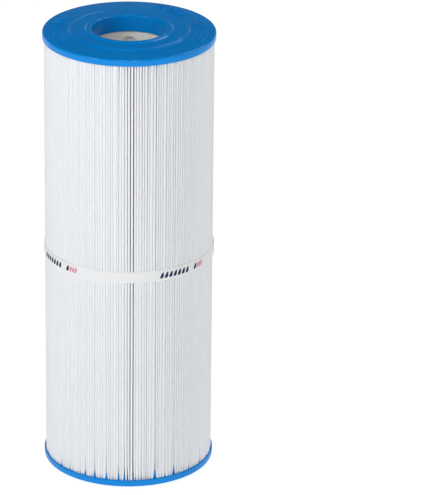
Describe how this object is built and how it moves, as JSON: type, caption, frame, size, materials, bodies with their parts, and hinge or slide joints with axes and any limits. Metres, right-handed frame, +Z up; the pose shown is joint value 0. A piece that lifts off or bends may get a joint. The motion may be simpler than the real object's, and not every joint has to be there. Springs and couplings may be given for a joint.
{
  "type": "filter cartridge",
  "caption": "Pleated spa filter cartridge: two open-centred blue urethane end caps, a ring of folded polyester round a perforated core tube, and a narrow band at mid height.",
  "frame": {"origin": "middle of the plane that the cartridge stands on, which is the bottom cap's sealing land", "axes": "+Z up along the cartridge's axis, front towards -Y"},
  "size_m": [0.1254, 0.1254, 0.3381],
  "materials": {
    "cap_urethane": "glossy cast urethane, royal blue",
    "pleat_polyester": "white spunbonded polyester sheet",
    "core_plastic": "off-white moulded polypropylene",
    "band_polyester": "white non-woven strip with a printed repeat",
    "hot_melt": "translucent off-white hot-melt glue"
  },
  "bodies": {
    "root": {"top_end_cap": "cap_urethane", "bottom_end_cap": "cap_urethane", "core_tube": "core_plastic", "pleated_media": "pleat_polyester", "media_side_seam": "hot_melt", "centre_band": "band_polyester", "band_adhesive": "hot_melt", "band_lap_adhesive": "hot_melt"}
  },
  "joints": []
}
